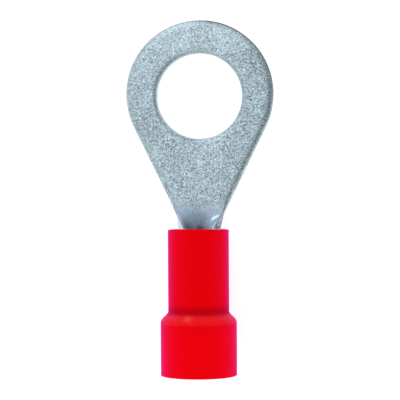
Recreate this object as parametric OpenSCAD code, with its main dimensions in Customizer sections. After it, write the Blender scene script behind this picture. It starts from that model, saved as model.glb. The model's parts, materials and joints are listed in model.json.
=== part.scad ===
// Insulated ring terminal: a tinned copper sheet, blanked to a ring tongue and rolled to a crimp barrel,
// with a flared vinyl sleeve pressed over the barrel. The tongue's underside is the plane z = 0, the stud
// hole's centre is the origin, the ring's tip points along +Y and the wire enters from -Y.

/* [Ring tongue] */
// Thickness of the sheet
sheet_t = 0.8; // [0.6:0.05:0.9]
// Diameter of the stud hole
stud_hole_d = 6.7; // [4.3:0.1:7.6]
// Width of the ring across the stud hole
ring_w = 11.6; // [10.8:0.1:13]
// How far the ring's centre lies beyond the hole's centre, towards the tip
ring_offset = 0.14; // [0:0.02:0.4]
// Distance from the hole's centre to the root, where the flat tongue ends
root_dist = 9; // [8.5:0.1:12]
// Width of the tongue at its root
root_w = 3.96; // [3.8:0.02:4.2]

/* [Throat] */
// Width of the flat blank at the narrowest place of the throat
throat_w = 3.24; // [3:0.02:3.4]
// Length over which the blank narrows from the root to the throat
narrowing_len = 1.4; // [1.2:0.1:1.6]
// Length over which the sheet rolls up from flat to the barrel's radius
rolling_len = 1.9; // [1.7:0.1:2.2]
// Distance from the root to the barrel's closed front end
throat_len = 2.9; // [2.8:0.1:3.6]

/* [Barrel] */
// Bore of the rolled barrel
barrel_bore_d = 2; // [1.7:0.1:2.2]
// Length of the closed barrel
barrel_len = 5.05; // [4:0.05:7]
// Gap of the butted seam along the top of the barrel
seam_gap = 0.06; // [0.04:0.01:0.16]
// Leg of the chamfer inside the barrel's wire end
barrel_lead_in = 0.15; // [0.1:0.05:0.3]
// Number of grip grooves across the inside of the barrel, even so that its middle stays smooth
groove_count = 4; // [2:2:4]
// Distance between the grip grooves
groove_pitch = 0.9; // [0.7:0.05:0.95]
// Depth of a grip groove
groove_depth = 0.12; // [0.06:0.01:0.15]
// Width of a grip groove where it opens into the bore
groove_w = 0.3; // [0.25:0.01:0.4]
// Angle on each side of the seam where the bore is left smooth
groove_clear_angle = 30; // [20:1:50]

/* [Sleeve] */
// Wall of the narrow section over the barrel
sleeve_wall = 0.57; // [0.45:0.01:0.8]
// Length of curled throat that stays bare in front of the sleeve
bare_len = 1.42; // [1.3:0.02:1.7]
// Gap between the sleeve's mouth and the corners of the throat
mouth_clearance = 0.04; // [0.02:0.01:0.08]
// Distance that the shoulder starts ahead of the barrel's wire end
shoulder_lap = 0.09; // [0:0.01:0.4]
// Length of the shoulder between the narrow section and the flare
shoulder_len = 0.69; // [0.5:0.01:1.2]
// Bore of the flare, which takes the wire's insulation
flare_bore_d = 4.66; // [4.2:0.02:6]
// Wall of the flare
flare_wall = 0.635; // [0.45:0.005:0.8]
// Distance that the sleeve reaches behind the barrel's wire end
flare_reach = 4.8; // [3:0.1:7]
// Chamfer on the outer rims of the sleeve
rim_chamfer = 0.1; // [0.04:0.01:0.15]

/* [Hidden] */
$fn = 96;

// Facets of the throat, along the part and around its section
throat_rings = 16;
throat_sides = 32;
// The throat's faces lie this far inside those of the tongue and the barrel, and its ends reach
// this deep into them, so that the three join to one sheet
join_inset = 0.01;
join_depth = 0.25;
// Length by which a cutter runs past the faces that it cuts
past = 1;

ring_r = ring_w / 2;
barrel_bore_r = barrel_bore_d / 2;
barrel_r = barrel_bore_r + sheet_t;
barrel_mid_r = barrel_bore_r + sheet_t / 2;
axis_z = barrel_r;
barrel_front = root_dist + throat_len;
barrel_rear = barrel_front + barrel_len;
closed_half_w = PI * barrel_mid_r - seam_gap / 2 - 2 * join_inset;

narrow_r = barrel_r + sleeve_wall;
flare_bore_r = flare_bore_d / 2;
flare_r = flare_bore_r + flare_wall;
sleeve_front = root_dist + bare_len;
shoulder_front = barrel_rear - shoulder_lap;
shoulder_rear = shoulder_front + shoulder_len;
sleeve_rear = barrel_rear + flare_reach;

// Where the straight flank of the tongue meets the ring: the tangent from the root's corner
root_corner = [root_w / 2, -root_dist - ring_offset];
flank_angle = atan2(root_corner.y, root_corner.x) + acos(ring_r / norm(root_corner));
flank_start = [ring_r * cos(flank_angle), ring_offset + ring_r * sin(flank_angle)];

function clamp01(x) = min(1, max(0, x));
function ease(x) = let (t = clamp01(x)) t * t * (3 - 2 * t);

// The blank's half width and the sheet's curvature at a distance from the hole's centre
function narrowing(dist) = 1 - clamp01((dist - root_dist) / narrowing_len);
function widening(dist) = ease((dist - root_dist - narrowing_len) / (throat_len - narrowing_len));
function half_width(dist) =
    throat_w / 2
    + (root_w - throat_w) / 2 * pow(narrowing(dist), 2)
    + (closed_half_w - throat_w / 2) * widening(dist);
function curvature(dist) = ease((dist - root_dist) / rolling_len) / barrel_mid_r;

// A point of the curled sheet: dist along the part, across from the middle of the blank, and
// side out from the middle of its thickness
function turn(dist, across) = curvature(dist) * across * 180 / PI;
function sheet_point(dist, across, side) =
    let (bend = curvature(dist), angle = turn(dist, across))
    let (x = bend > 0 ? sin(angle) / bend : across)
    let (rise = bend > 0 ? (1 - cos(angle)) / bend : 0)
    [x + side * sin(angle), -dist, sheet_t / 2 + rise - side * cos(angle)];

// Farthest reach of the throat's corners from the barrel's axis
function corner_reach(dist) =
    let (p = sheet_point(dist, half_width(dist), sheet_t / 2))
    norm([p.x, p.z - axis_z]);

mouth_r = corner_reach(sleeve_front) + mouth_clearance;
mouth_end = root_dist + rolling_len + mouth_clearance * 2;

// Places children that are built along +Z onto the barrel's axis, running away from the ring
module along_barrel() {
    translate([0, 0, axis_z])
        rotate([90, 0, 0])
            children();
}

module tongue_outline() {
    translate([0, ring_offset])
        circle(r = ring_r);
    polygon([
        flank_start,
        [-flank_start.x, flank_start.y],
        [-root_w / 2, -root_dist],
        [root_w / 2, -root_dist],
    ]);
}

module tongue() {
    difference() {
        linear_extrude(sheet_t)
            tongue_outline();
        translate([0, 0, -past])
            cylinder(h = sheet_t + 2 * past, d = stud_hole_d);
    }
}

// One closed section of the curled sheet: its outer face from edge to edge, then its inner face back
function throat_section(dist) = [
    for (side = [1, -1])
        for (i = [0:throat_sides])
            let (across = side * (2 * i / throat_sides - 1) * (half_width(dist) - join_inset))
            sheet_point(dist, across, side * (sheet_t / 2 - join_inset)),
];

module throat() {
    count = 2 * (throat_sides + 1);
    stations = [
        root_dist - join_depth,
        for (k = [0:throat_rings])
            root_dist + throat_len * k / throat_rings,
        barrel_front + join_depth,
    ];
    points = [
        for (dist = stations)
            each throat_section(dist),
    ];
    last = len(stations) - 1;
    walls = [
        for (k = [0:last - 1])
            for (i = [0:count - 1])
                let (a = k * count + i, b = k * count + (i + 1) % count)
                each [[a, b + count, b], [a, a + count, b + count]],
    ];
    caps = [
        for (i = [0:throat_sides - 1])
            let (a = i, b = i + 1, c = count - 2 - i, d = count - 1 - i)
            each [
                [a, b, c, d],
                [for (n = [d, c, b, a]) last * count + n],
            ],
    ];
    polyhedron(points, concat(walls, caps));
}

module barrel() {
    along_barrel()
        difference() {
            translate([0, 0, barrel_front])
                cylinder(h = barrel_len, r = barrel_r);
            translate([0, 0, barrel_front - past])
                cylinder(h = barrel_len + 2 * past, r = barrel_bore_r);
            translate([0, 0, barrel_rear - barrel_lead_in])
                cylinder(h = 2 * barrel_lead_in, r1 = barrel_bore_r, r2 = barrel_bore_r + 2 * barrel_lead_in);
            translate([-seam_gap / 2, 0, barrel_front - past])
                cube([seam_gap, barrel_r + past, barrel_len + 2 * past]);
        }
}

// The V grooves that grip the strands, coined across the blank before it is rolled: they stop short
// of the seam on both sides
module grip_grooves() {
    middle = (barrel_front + barrel_rear) / 2;
    along_barrel()
        for (i = [0:groove_count - 1])
            translate([0, 0, middle + (i - (groove_count - 1) / 2) * groove_pitch])
                rotate(90 + groove_clear_angle)
                    rotate_extrude(angle = 360 - 2 * groove_clear_angle)
                        polygon([
                            [barrel_bore_r - groove_depth, -groove_w],
                            [barrel_bore_r + groove_depth, 0],
                            [barrel_bore_r - groove_depth, groove_w],
                        ]);
}

module terminal() {
    color([0.72, 0.75, 0.78])
        difference() {
            union() {
                tongue();
                throat();
                barrel();
            }
            grip_grooves();
        }
}

module sleeve_profile() {
    shoulder_round = (flare_r - narrow_r) / 5;
    polygon([
        [mouth_r, sleeve_front],
        [narrow_r - rim_chamfer, sleeve_front],
        [narrow_r, sleeve_front + rim_chamfer],
        [narrow_r, shoulder_front],
        [flare_r - shoulder_round, shoulder_rear - 2 * shoulder_round],
        [flare_r, shoulder_rear],
        [flare_r, sleeve_rear - rim_chamfer],
        [flare_r - rim_chamfer, sleeve_rear],
        [flare_bore_r, sleeve_rear],
        [flare_bore_r, shoulder_rear + shoulder_round],
        [barrel_r, barrel_rear],
        [barrel_r, mouth_end],
    ]);
}

module sleeve() {
    color([0.88, 0.02, 0.05])
        along_barrel()
            rotate_extrude()
                sleeve_profile();
}

terminal();
sleeve();
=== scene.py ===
"""An insulated ring terminal: a tinned copper sheet blanked to a ring tongue and rolled to a crimp barrel,
with a flared red vinyl sleeve over the barrel. It lies on a white table under soft studio light."""

import json
import math

import bmesh
import bpy
from mathutils import Matrix, Vector


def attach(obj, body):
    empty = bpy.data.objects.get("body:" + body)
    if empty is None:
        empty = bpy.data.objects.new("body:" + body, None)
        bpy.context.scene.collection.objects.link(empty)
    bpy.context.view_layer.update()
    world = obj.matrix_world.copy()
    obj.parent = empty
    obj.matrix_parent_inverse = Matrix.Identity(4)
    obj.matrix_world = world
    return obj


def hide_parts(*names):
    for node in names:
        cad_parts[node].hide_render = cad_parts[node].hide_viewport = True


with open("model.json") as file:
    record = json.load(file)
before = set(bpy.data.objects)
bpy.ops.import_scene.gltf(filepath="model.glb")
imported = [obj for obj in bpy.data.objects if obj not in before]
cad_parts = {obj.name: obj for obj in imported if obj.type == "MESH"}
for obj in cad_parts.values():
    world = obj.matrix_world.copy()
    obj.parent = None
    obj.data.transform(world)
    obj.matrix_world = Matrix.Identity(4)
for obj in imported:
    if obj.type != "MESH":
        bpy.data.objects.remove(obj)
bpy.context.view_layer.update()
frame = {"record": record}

MM = 0.001
MOUNTS = {m["name"]: m for m in frame["record"]["mounts"]}

# Places along the part are distances behind the stud hole's centre, which is the origin: dist is -y.

# The flat tongue: a ring whose centre lies a little beyond the hole's, and flanks that run in to the root
SHEET_T = MOUNTS["topside"]["pos_m"][2]
STUD_R = MOUNTS["stud_hole"]["dims"]["r_mm"] * MM
RING_R = 5.8 * MM
RING_OFFSET = 0.14 * MM
ROOT_DIST = 9.0 * MM
ROOT_HALF = 1.98 * MM

# The throat behind the root line: the lengths over which the blank narrows, rolls up and closes
THROAT_HALF = 1.62 * MM
NARROWING = 1.4 * MM
ROLLING = 1.9 * MM
THROAT_LEN = 2.9 * MM

# The rolled barrel, and the bend per metre below which the sheet counts as flat
BARREL_BORE = MOUNTS["wire_barrel"]["dims"]["r_mm"] * MM
BARREL_LEN = 5.05 * MM
SEAM_GAP = 0.06 * MM
LEAST_BEND = 1e-6

# Width and depth of the rounding of the sheet's edges: on the upper side of the outline, of the stud hole and
# of the tail, and on the lower side all round
DRAWN_EDGE = (0.62 * MM, 0.5 * MM)
HOLE_EDGE = (0.48 * MM, 0.38 * MM)
ROLLED_EDGE = (0.18 * MM, 0.18 * MM)
BURR_EDGE = (0.12 * MM, 0.12 * MM)

# Where the outline's rounding starts to turn into the tail's
FINE_EDGE_DIST = 0.9 * ROOT_DIST

# Rows of points on a rounding, as shares of its width inward from the edge
ROUND_INSETS = [1 - math.sin(math.radians(slope)) for slope in (90, 75, 60, 45, 30, 15, 0)]

BARREL_MID = BARREL_BORE + SHEET_T / 2
BARREL_R = BARREL_BORE + SHEET_T
AXIS_Z = MOUNTS["wire_barrel"]["pos_m"][2]
BARREL_FRONT = ROOT_DIST + THROAT_LEN
BARREL_REAR = BARREL_FRONT + BARREL_LEN
CLOSED_HALF = math.pi * BARREL_MID - SEAM_GAP / 2

# The V grooves pressed across the inside of the barrel, and the angle from the seam at which they stop
GROOVE_COUNT = 4
GROOVE_PITCH = 0.9 * MM
GROOVE_DEPTH = 0.12 * MM
GROOVE_HALF = 0.15 * MM
GROOVE_CLEAR = math.radians(30)
GROOVE_FIRST = (BARREL_FRONT + BARREL_REAR - (GROOVE_COUNT - 1) * GROOVE_PITCH) / 2
GROOVE_MIDDLES = [GROOVE_FIRST + i * GROOVE_PITCH for i in range(GROOVE_COUNT)]

# The sleeve: a narrow part over the barrel, a shoulder, and a flare for the wire's insulation
SLEEVE_WALL = 0.57 * MM
BARE_LEN = 1.42 * MM
SHOULDER_LAP = 0.09 * MM
SHOULDER_LEN = 0.69 * MM
FLARE_BORE = MOUNTS["insulation_entry"]["dims"]["r_mm"] * MM
FLARE_WALL = 0.635 * MM
FLARE_REACH = 4.8 * MM

# Its mouth, which clears the throat's corners: its radius, how far its cone reaches past the place where the
# sheet is rolled up, how far its upper lip leans towards the ring, and the length over which the lean fades
MOUTH_R = 1.97 * MM
MOUTH_LAP = 0.08 * MM
LIP_LEAN = 0.14 * MM
LIP_LEN = 0.6 * MM

# How far the flare's outer corner lies ahead of the shoulder's end, and the inner funnel's wide end behind it
SHOULDER_CORNER = 0.1 * MM
FUNNEL_END = 0.12 * MM

# Facets round the sleeve
SLEEVE_STEPS = 128

NARROW_R = BARREL_R + SLEEVE_WALL
FLARE_R = FLARE_BORE + FLARE_WALL
SLEEVE_FRONT = ROOT_DIST + BARE_LEN
SHOULDER_FRONT = BARREL_REAR - SHOULDER_LAP
SHOULDER_REAR = SHOULDER_FRONT + SHOULDER_LEN
SLEEVE_REAR = BARREL_REAR + FLARE_REACH

# The place of the cut edges' finish among the terminal's materials
SHEARED = 1

# The studio: half the table's side, the gap between the table and the part, the strength of the table's glow,
# and the width of the camera's chip in millimetres
TABLE_HALF = 0.6
TABLE_GAP = 0.02 * MM
TABLE_GLOW = 0.62
CHIP_MM = 36
WHITE = (1, 1, 1, 1)
BLACK = (0, 0, 0, 1)


# ---------------------------------------------------------------- shader maths


class Value:
    """A number or colour on its way through a material. Arithmetic written on it adds the Math nodes."""

    def __init__(self, graph, socket):
        self.graph = graph
        self.socket = socket

    def _math(self, operation, *values):
        return self.graph.node("ShaderNodeMath", {"operation": operation}, dict(enumerate(values)))

    def __add__(self, other):
        return self._math("ADD", self, other)

    def __sub__(self, other):
        return self._math("SUBTRACT", self, other)

    def __rsub__(self, other):
        return self._math("SUBTRACT", other, self)

    def __mul__(self, other):
        return self._math("MULTIPLY", self, other)

    __radd__ = __add__
    __rmul__ = __mul__

    def step(self, low, high):
        """0 below low, 1 above high, and a smooth rise between them. With low above high it falls instead."""
        settings = {"interpolation_type": "SMOOTHSTEP"}
        return self.graph.node("ShaderNodeMapRange", settings, {0: self, 1: low, 2: high})


class Graph:
    """The nodes of a material or of the world, with the shader that its values end in."""

    def __init__(self, owner, shader):
        owner.use_nodes = True
        self.owner = owner
        self.nodes = owner.node_tree.nodes
        self.links = owner.node_tree.links
        self.shader = self.nodes[shader]

    def node(self, kind, settings=None, sockets=None, output=0):
        made = self.nodes.new(kind)
        for key, value in (settings or {}).items():
            setattr(made, key, value)
        self.fill(made, sockets or {})
        return Value(self, made.outputs[output])

    def fill(self, node, sockets):
        for key, value in sockets.items():
            if isinstance(value, Value):
                self.links.new(value.socket, node.inputs[key])
            else:
                node.inputs[key].default_value = value

    def place(self, output="Object"):
        """The place on the piece, in metres. With Generated, the direction in which the world is seen."""
        return self.node("ShaderNodeTexCoord", output=output)

    def ray(self, kind):
        """1 for rays of one kind, such as Camera or Glossy, and 0 for the others."""
        return self.node("ShaderNodeLightPath", output=f"Is {kind} Ray")

    def axis(self, vector, name):
        return self.node("ShaderNodeSeparateXYZ", None, {0: vector}, output=name)

    def noise(self, vector, size, detail=2.0, roughness=0.5):
        """Noise of about the given size of grain, in metres."""
        sockets = {"Vector": vector, "Scale": 1 / size, "Detail": detail, "Roughness": roughness}
        return self.node("ShaderNodeTexNoise", {"normalize": True}, sockets)

    def mix(self, factor, first, second):
        settings = {"data_type": "RGBA"}
        return self.node("ShaderNodeMix", settings, {0: factor, 6: first, 7: second}, output=2)

    def bump(self, height, depth, strength=1.0):
        sockets = {"Height": height, "Distance": depth, "Strength": strength}
        return self.node("ShaderNodeBump", None, sockets)

    def finish(self, **sockets):
        self.fill(self.shader, {key.replace("_", " "): value for key, value in sockets.items()})
        return self.owner


def new_material(name):
    return Graph(bpy.data.materials.new(name), "Principled BSDF")


def tin_material():
    """Matt tin plate: fine bright and dull grains on the flat tongue, burnished where the throat is rolled.
    Painted light brightens it at the tip; painted shade darkens its right side and the middle of the throat."""
    graph = new_material("tin_plate")
    place = graph.place()
    grain = graph.noise(place, 0.055 * MM, detail=1.0, roughness=0.6)
    fleck = graph.noise(place, 0.15 * MM, detail=2.0, roughness=0.6)
    cloud = graph.noise(place, 1.5 * MM, detail=2.0)
    hue = graph.noise(place, 0.35 * MM, detail=1.0)
    along = graph.axis(place, "Y")
    across = graph.axis(place, "X")
    frosted = along.step(-1.04 * ROOT_DIST, -0.87 * ROOT_DIST)
    # Painted light: the tin is made brighter towards the ring's tip.
    tip = along.step(0.0, 6.0 * MM)
    # Painted shade: the tin is made darker towards its right side.
    right = across.step(1.0 * MM, 6.0 * MM)
    # Painted shade: a dark strip down the middle of the throat.
    off_middle = across + 0.4 * MM
    trough_half = 1.6 * MM
    painted_throat_shade = (off_middle * off_middle).step(trough_half**2, 0.0)
    painted_throat_shade = painted_throat_shade * along.step(-0.93 * ROOT_DIST, -1.15 * ROOT_DIST)
    speckle = ((grain - 0.5) * 2.5 + (fleck - 0.5) * 1.3) * (frosted * 0.85 + 0.15)
    tone = speckle + (cloud - 0.5) * 0.35 + tip * 0.105 - right * 0.1 - painted_throat_shade * 0.42 + 0.485
    dull = graph.mix(hue, (0.075, 0.107, 0.158, 1), (0.075, 0.124, 0.148, 1))
    bright = graph.mix(hue, (0.735, 0.905, 1.0, 1), (0.765, 0.935, 1.0, 1))
    bright = graph.mix(frosted, (0.64, 0.81, 1.0, 1), bright)
    colour = graph.mix(tone, dull, bright)
    rough = 0.22 + frosted * 0.18 + (fleck - 0.5) * 0.3
    height = (grain + fleck) * frosted + cloud * 0.4
    normal = graph.bump(height, 0.012 * MM, 0.8)
    return graph.finish(Base_Color=colour, Metallic=1.0, Roughness=rough, Normal=normal)


def sheared_material():
    """The sheet's cut edge, plated over: drawn down by the die, smoother than the faces. On the tail its
    drawn lines are stronger, painted light brightens its left side and painted shade darkens its right side."""
    graph = new_material("tin_sheared_edge")
    place = graph.place()
    grain = graph.noise(place, 0.12 * MM, detail=2.0, roughness=0.6)
    drawn = graph.node("ShaderNodeMapping", None, {"Vector": place, "Scale": (1, 1, 0.2)})
    ridge = graph.noise(drawn, 0.2 * MM, detail=1.0)
    tail = graph.axis(place, "Y").step(-FINE_EDGE_DIST, -ROOT_DIST)
    # Painted light and shade on the tail's cut edge: brighter on its left side, darker on its right.
    right = graph.axis(place, "X").step(-1.5 * MM, 1.5 * MM)
    lines = (ridge - 0.5) * (tail * 1.4 + 0.6)
    tone = (grain - 0.5) * 0.7 + lines + tail * (0.35 - right * 0.75) + 0.55
    colour = graph.mix(tone, (0.22, 0.28, 0.36, 1), (0.64, 0.72, 0.80, 1))
    normal = graph.bump(ridge + grain * 0.5, 0.01 * MM, 0.6)
    return graph.finish(Base_Color=colour, Metallic=1.0, Roughness=0.34, Normal=normal)


def vinyl_material():
    """Soft red vinyl with a pink sheen. Painted shade deepens its red in the crease ahead of its shoulder, it
    is glossier on the shoulder, and painted light brightens the flare."""
    graph = new_material("red_vinyl")
    place = graph.place()
    sag = graph.noise(place, 1.6 * MM, detail=1.0)
    fine = graph.noise(place, 0.25 * MM, detail=2.0)
    behind = graph.axis(place, "Y") * -1 - SHOULDER_FRONT
    shoulder = behind.step(-0.1 * MM, 0.2 * MM) * behind.step(0.95 * MM, 0.7 * MM)
    # Painted shade: the red is made deeper in the crease ahead of the shoulder.
    painted_fold_shade = behind.step(-0.85 * MM, -0.2 * MM) * behind.step(0.25 * MM, 0.05 * MM)
    red = graph.mix(sag, (0.89, 0.0, 0.0, 1), (0.95, 0.0, 0.0, 1))
    # Painted light: the red is made brighter over the flare.
    red = graph.mix(behind.step(0.2 * MM, 2.0 * MM), red, (1.0, 0.0, 0.0, 1))
    colour = graph.mix(painted_fold_shade * 0.8, red, (0.55, 0.0, 0.0, 1))
    rough = 0.3 + (fine - 0.5) * 0.1
    coat = 0.01 + shoulder * 0.14
    normal = graph.bump(sag + fine * 0.08, 0.03 * MM, 0.6)
    return graph.finish(
        Base_Color=colour,
        Roughness=rough,
        Normal=normal,
        Specular_IOR_Level=0.0,
        Coat_Weight=coat,
        Coat_IOR=1.7,
        Coat_Roughness=0.2,
        Sheen_Weight=1.0,
        Sheen_Roughness=0.39,
        Sheen_Tint=(1.0, 0.09, 0.85, 1),
    )


# ---------------------------------------------------------------- the terminal


def clamp(x):
    return min(1.0, max(0.0, x))


def ease(x):
    """Rises smoothly from 0 to 1 as x does."""
    t = clamp(x)
    return t * t * (3 - 2 * t)


def half_width(dist):
    """Half the flat blank's width on the tail."""
    left = 1 - clamp((dist - ROOT_DIST) / NARROWING)
    widening = ease((dist - ROOT_DIST - NARROWING) / (THROAT_LEN - NARROWING))
    return THROAT_HALF + (ROOT_HALF - THROAT_HALF) * left**2 + (CLOSED_HALF - THROAT_HALF) * widening


def rolled(across, dist, side):
    """Where a point of the blank goes when the tail is rolled up. It lies across from the blank's middle line
    and side above the middle of its thickness."""
    bend = ease((dist - ROOT_DIST) / ROLLING) / BARREL_MID
    if bend < LEAST_BEND:
        return Vector((across, -dist, SHEET_T / 2 + side))
    angle = across * bend
    reach = 1 / bend - side
    return Vector((math.sin(angle) * reach, -dist, SHEET_T / 2 + 1 / bend - math.cos(angle) * reach))


def edge_round(dist):
    """Width and depth of the rounding on the upper edge: wide on the tongue, fine on the tail."""
    late = ease((dist - FINE_EDGE_DIST) / (ROOT_DIST - FINE_EDGE_DIST))
    return [wide + (fine - wide) * late for wide, fine in zip(DRAWN_EDGE, ROLLED_EDGE)]


def rounding_depth(gap, width, depth):
    """How far an edge's rounding has sunk at a distance from the edge."""
    share = clamp(1 - gap / width)
    return depth * (1 - math.sqrt(1 - share**2))


def groove_depth(across, dist):
    """How far a point of the bore is pressed into a grip groove."""
    if abs(across) > BARREL_MID * (math.pi - GROOVE_CLEAR):
        return 0.0
    off = min(abs(dist - middle) for middle in GROOVE_MIDDLES)
    return GROOVE_DEPTH * max(0.0, 1 - off / GROOVE_HALF)


def tail_rows():
    """Where the rows of points along the tail are: close in the throat, at the grooves and at its end."""
    in_throat, before_grooves = 28, 3
    to_grooves = GROOVE_FIRST - GROOVE_HALF - BARREL_FRONT
    rows = [ROOT_DIST + THROAT_LEN * i / in_throat for i in range(1, in_throat + 1)]
    rows += [BARREL_FRONT + to_grooves * i / before_grooves for i in range(1, before_grooves)]
    for middle in GROOVE_MIDDLES:
        rows += [middle - GROOVE_HALF, middle, middle + GROOVE_HALF, middle + GROOVE_PITCH / 2]
    return rows + [BARREL_REAR - ROLLED_EDGE[0] * share for share in reversed(ROUND_INSETS)]


def root_corner():
    return Vector((ROOT_HALF, -ROOT_DIST))


def flank_end():
    """Where the straight flank meets the ring: the tangent from the root's corner."""
    corner = root_corner() - Vector((0, RING_OFFSET))
    angle = math.atan2(corner.y, corner.x) + math.acos(RING_R / corner.length)
    return Vector((RING_R * math.cos(angle), RING_OFFSET + RING_R * math.sin(angle)))


def outline_stations():
    """Points round the tongue's outline, from the root's right corner round the ring and back along the root
    line, and the place in this list where the root line's own points start."""
    arc_steps, flank_steps, root_steps = 144, 32, 30
    crowding = 1.3
    corner, tangent = root_corner(), flank_end()
    right = [corner.lerp(tangent, (i / flank_steps) ** crowding) for i in range(flank_steps)]
    start = math.atan2(tangent.y - RING_OFFSET, tangent.x)
    angles = [start + (math.pi - 2 * start) * i / arc_steps for i in range(arc_steps + 1)]
    arc = [Vector((RING_R * math.cos(a), RING_OFFSET + RING_R * math.sin(a))) for a in angles]
    left = [Vector((-p.x, p.y)) for p in reversed(right)]
    ends = [ROOT_HALF - share * ROLLED_EDGE[0] for share in ROUND_INSETS[1:]]
    middle = [ends[-1] * (2 * i / root_steps - 1) for i in range(1, root_steps)]
    across = [-x for x in ends] + middle + ends[::-1]
    root = [Vector((x, -ROOT_DIST)) for x in across]
    return right + arc + left + root, len(right + arc + left)


def drawn_in(outline, root_first, share):
    """The outline moved in by a share of its rounding's width, with the root line's points kept in step."""
    inner = []
    for i, point in enumerate(outline):
        before = (point - outline[i - 1]).normalized()
        after = (outline[(i + 1) % len(outline)] - point).normalized()
        side = Vector((-before.y - after.y, before.x + after.x)).normalized()
        margin = edge_round(-point.y)[0] * share
        inner.append(point + side * margin / side.dot(Vector((-before.y, before.x))))
    shrink = inner[0].x / ROOT_HALF
    for i in range(root_first, len(outline)):
        inner[i] = Vector((outline[i].x * shrink, inner[0].y))
    return inner


def grown(bm, edges):
    """Extrudes edges, and gives the new vertices and the new edges."""
    made = bmesh.ops.extrude_edge_only(bm, edges=edges)["geom"]
    verts = [g for g in made if isinstance(g, bmesh.types.BMVert)]
    return verts, [g for g in made if isinstance(g, bmesh.types.BMEdge)]


def flat_blank():
    """The middle of the flat blank: rings from the stud hole out to the outline, then rows along the tail."""
    outline, root_first = outline_stations()
    bm = bmesh.new()
    station = bm.verts.layers.int.new("station")
    bmesh.ops.create_circle(bm, segments=len(outline), radius=STUD_R)
    for i, vert in enumerate(bm.verts):
        vert[station] = i
        vert.co = (outline[i].normalized() * STUD_R).to_3d()

    round_hole = [STUD_R + HOLE_EDGE[0] * share for share in ROUND_INSETS[1:]]
    rings = [[p.normalized() * radius for p in outline] for radius in round_hole]
    near = rings[-1]
    far = drawn_in(outline, root_first, 1)
    between = (0.12, 0.3, 0.5, 0.7, 0.88, 1)
    rings += [[a.lerp(b, share) for a, b in zip(near, far)] for share in between]
    rings += [drawn_in(outline, root_first, share) for share in ROUND_INSETS[-2::-1]]
    edges = list(bm.edges)
    for ring in rings:
        verts, edges = grown(bm, edges)
        for vert in verts:
            vert.co = ring[vert[station]].to_3d()

    # Only the root line grows on into the tail. Its outer points keep their distance from the tail's edge,
    # and the others spread out over the width that is left.
    edges = [e for e in edges if all(v[station] >= root_first - 1 or v[station] == 0 for v in e.verts)]
    for dist in tail_rows():
        verts, edges = grown(bm, edges)
        for vert in verts:
            x = outline[vert[station]].x
            inset = min(ROOT_HALF - abs(x), ROLLED_EDGE[0])
            inward = (ROOT_HALF - abs(x) - inset) / (ROOT_HALF - ROLLED_EDGE[0])
            reach = (half_width(dist) - ROLLED_EDGE[0]) * (1 - inward) + ROLLED_EDGE[0] - inset
            vert.co = Vector((math.copysign(reach, x), -dist, 0))
    bm.verts.layers.int.remove(station)
    return bm


def rim_gap(flat):
    """How far a point of the flat blank is from its outer edge."""
    dist = -flat.y
    if dist > ROOT_DIST:
        return min(half_width(dist) - abs(flat.x), BARREL_REAR - dist)
    corner, tangent = root_corner(), flank_end()
    out = Vector((abs(flat.x), flat.y)) - corner
    along = (tangent - corner).normalized()
    if out.dot(along) < (tangent - corner).length:
        return abs(along.cross(out))
    return RING_R - Vector((flat.x, flat.y - RING_OFFSET)).length


def terminal_sheet():
    """The blank given its thickness and the rounding of its edges, with its tail rolled up."""
    bm = flat_blank()
    made = bmesh.ops.extrude_face_region(bm, geom=bm.faces[:], use_keep_orig=True)["geom"]
    upper = {g for g in made if isinstance(g, bmesh.types.BMVert)}
    for face in bm.faces:
        if 0 < sum(v in upper for v in face.verts) < len(face.verts):
            face.material_index = SHEARED
    for vert in bm.verts:
        x, dist = vert.co.x, -vert.co.y
        rim, hole = rim_gap(vert.co), vert.co.xy.length - STUD_R
        if vert in upper:
            drawn = rounding_depth(rim, *edge_round(dist)) + rounding_depth(hole, *HOLE_EDGE)
            vert.co = rolled(x, dist, SHEET_T / 2 - drawn - groove_depth(x, dist))
        else:
            vert.co = rolled(x, dist, rounding_depth(min(rim, hole), *BURR_EDGE) - SHEET_T / 2)
    bmesh.ops.recalc_face_normals(bm, faces=bm.faces)
    if bm.calc_volume(signed=True) < 0:
        bmesh.ops.reverse_faces(bm, faces=bm.faces)
    return bm


def piece_from(bm, name, materials):
    mesh = bpy.data.meshes.new(name)
    bm.to_mesh(mesh)
    bm.free()
    for polygon in mesh.polygons:
        polygon.use_smooth = True
    for material in materials:
        mesh.materials.append(material)
    piece = bpy.data.objects.new(name, mesh)
    bpy.context.scene.collection.objects.link(piece)
    return piece


def weigh_normals(piece):
    """Lets the large faces settle the shading, so that they look flat beside their rounded edges."""
    normals = piece.modifiers.new("shading", "WEIGHTED_NORMAL")
    normals.weight = 60


def make_terminal():
    piece = piece_from(terminal_sheet(), "tinned_terminal", [tin_material(), sheared_material()])
    weigh_normals(piece)
    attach(piece, "root")
    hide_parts("terminal")


# ---------------------------------------------------------------- the sleeve


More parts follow.
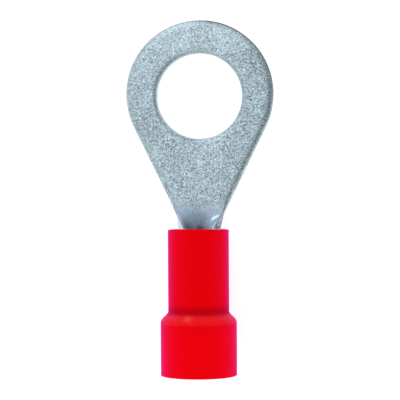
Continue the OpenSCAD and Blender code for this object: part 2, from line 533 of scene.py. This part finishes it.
def sleeve_shell():
    """The sleeve's section spun round the barrel's axis. Each corner of the section has its radius, its place
    along the part and the size of its rounding."""
    corners = [
        (MOUTH_R, SLEEVE_FRONT, 0.08 * MM),
        (NARROW_R, SLEEVE_FRONT, 0.05 * MM),
        (NARROW_R, SHOULDER_FRONT, 0.12 * MM),
        (FLARE_R, SHOULDER_REAR - SHOULDER_CORNER, 0.18 * MM),
        (FLARE_R, SLEEVE_REAR, 0.06 * MM),
        (FLARE_BORE, SLEEVE_REAR, 0.1 * MM),
        (FLARE_BORE, SHOULDER_REAR + FUNNEL_END, 0.3 * MM),
        (BARREL_R, BARREL_REAR, 0.05 * MM),
        (BARREL_R, ROOT_DIST + ROLLING + MOUTH_LAP, 0.1 * MM),
    ]
    bm = bmesh.new()
    ring = [bm.verts.new((r, -dist, AXIS_Z)) for r, dist, _ in corners]
    for i, vert in enumerate(ring):
        bm.edges.new((vert, ring[(i + 1) % len(ring)]))
    for vert, (_, _, rounding) in zip(ring, corners):
        bmesh.ops.bevel(
            bm,
            geom=[vert],
            offset=rounding,
            offset_type="OFFSET",
            segments=5,
            profile=0.5,
            affect="VERTICES",
            material=-1,
        )
    bmesh.ops.spin(
        bm,
        geom=bm.verts[:] + bm.edges[:],
        cent=(0, 0, AXIS_Z),
        axis=(0, 1, 0),
        angle=math.tau,
        steps=SLEEVE_STEPS,
        use_merge=True,
    )
    bmesh.ops.remove_doubles(bm, verts=bm.verts, dist=1e-7)
    for vert in bm.verts:
        over = max(0.0, (vert.co.z - AXIS_Z) / NARROW_R)
        vert.co.y += LIP_LEAN * over**2 * (1 - ease((-vert.co.y - SLEEVE_FRONT) / LIP_LEN))
    bmesh.ops.recalc_face_normals(bm, faces=bm.faces)
    return bm


def make_sleeve():
    piece = piece_from(sleeve_shell(), "vinyl_sleeve", [vinyl_material()])
    weigh_normals(piece)
    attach(piece, "root")
    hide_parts("sleeve")


# ---------------------------------------------------------------- the studio


def ground_plane():
    """The table's height at y = 0 and its slope. It touches the ring's tip and the sleeve's flare."""
    tip_y = RING_OFFSET + RING_R
    flare_y = -SHOULDER_REAR
    flare_z = AXIS_Z - FLARE_R
    slope = -flare_z / (tip_y - flare_y)
    return -slope * tip_y, math.atan(slope)


def table_material():
    """A white table that also glows. Mirrored in the part it carries painted shade: it is dimmer ahead of the
    stud hole, and much dimmer in a painted shadow strip that slants past the ring's right front."""
    graph = new_material("white_table")
    camera, glossy = graph.ray("Camera"), graph.ray("Glossy")
    place = graph.place()
    ahead = graph.axis(place, "Y")
    slant = graph.axis(place, "X") + ahead
    # Painted shadow seen only in reflections: a dark strip past the ring's right front, and a dimmer table
    # ahead of the stud hole.
    painted_shadow_strip = slant.step(6.0 * MM, 8.0 * MM) * slant.step(11.5 * MM, 9.5 * MM)
    dim = (painted_shadow_strip * 0.65 + ahead.step(0.0, 4.0 * MM) * 0.3) * glossy
    white = graph.mix(dim, (0.8, 0.8, 0.8, 1), BLACK)
    glow = graph.mix((camera + glossy) * (1 - dim), BLACK, WHITE)
    return graph.finish(Base_Color=white, Roughness=0.9, Emission_Color=glow, Emission_Strength=TABLE_GLOW)


def make_table():
    height, slope = ground_plane()
    bm = bmesh.new()
    bmesh.ops.create_grid(bm, x_segments=1, y_segments=1, size=TABLE_HALF)
    bmesh.ops.rotate(bm, verts=bm.verts, cent=(0, 0, 0), matrix=Matrix.Rotation(slope, 3, "X"))
    bmesh.ops.translate(bm, verts=bm.verts, vec=(0, 0, height - TABLE_GAP))
    table = piece_from(bm, "table", [table_material()])


def make_world():
    """A white studio whose low walls give most of the light. The part mirrors a dim wall on its right, and
    the camera sees plain white."""
    world = bpy.data.worlds.new("studio")
    bpy.context.scene.world = world
    graph = Graph(world, "Background")
    camera, glossy = graph.ray("Camera"), graph.ray("Glossy")
    direction = graph.place("Generated")
    right, ahead, up = (graph.axis(direction, name) for name in "XYZ")
    dim_wall = (right * 0.95 - ahead * 0.3).step(0.1, 0.95)
    mirrored = (0.835 + up.step(0.2, 1.0) * 0.16) * (1 - dim_wall * 0.6)
    light = 1.3 - up * 0.75
    graph.finish(Strength=mirrored * glossy + light * (1 - glossy - camera) + camera, Color=WHITE)


def make_lamp(name, width, height, energy, location):
    """A soft lamp that faces the stud hole."""
    data = bpy.data.lights.new(name, "AREA")
    data.shape = "RECTANGLE"
    data.size = width
    data.size_y = height
    data.energy = energy
    lamp = bpy.data.objects.new(name, data)
    lamp.location = location
    lamp.rotation_mode = "QUATERNION"
    lamp.rotation_quaternion = (-lamp.location).to_track_quat("-Z", "Y")
    bpy.context.scene.collection.objects.link(lamp)


def make_camera():
    """Looks down on the terminal from close by, a little from its right. The angles are in radians, and the
    width is that of the view at the terminal."""
    yaw, pitch, roll = 0.1008, -0.0200, -0.0052
    middle = Vector((0.0067, -8.1493, 0)) * MM
    distance = 140 * MM
    width = 31.42283 * MM
    turn = Matrix.Rotation(yaw, 3, "Y") @ Matrix.Rotation(pitch, 3, "X") @ Matrix.Rotation(roll, 3, "Z")
    data = bpy.data.cameras.new("camera")
    data.sensor_width = CHIP_MM
    data.lens = CHIP_MM * distance / width
    data.clip_start = 0.01
    data.clip_end = 10
    camera = bpy.data.objects.new("camera", data)
    camera.matrix_world = Matrix.Translation(turn @ (middle + Vector((0, 0, distance)))) @ turn.to_4x4()
    bpy.context.scene.collection.objects.link(camera)
    bpy.context.scene.camera = camera


bpy.context.scene.view_settings.view_transform = "Standard"
make_camera()
make_terminal()
make_sleeve()
make_table()
make_world()
make_lamp("window", width=0.12, height=0.12, energy=0.08, location=(-0.15, 0.24, 0.31))
make_lamp("low_lamp", width=0.1, height=0.035, energy=0.055, location=(-0.12, 0.29, 0.035))
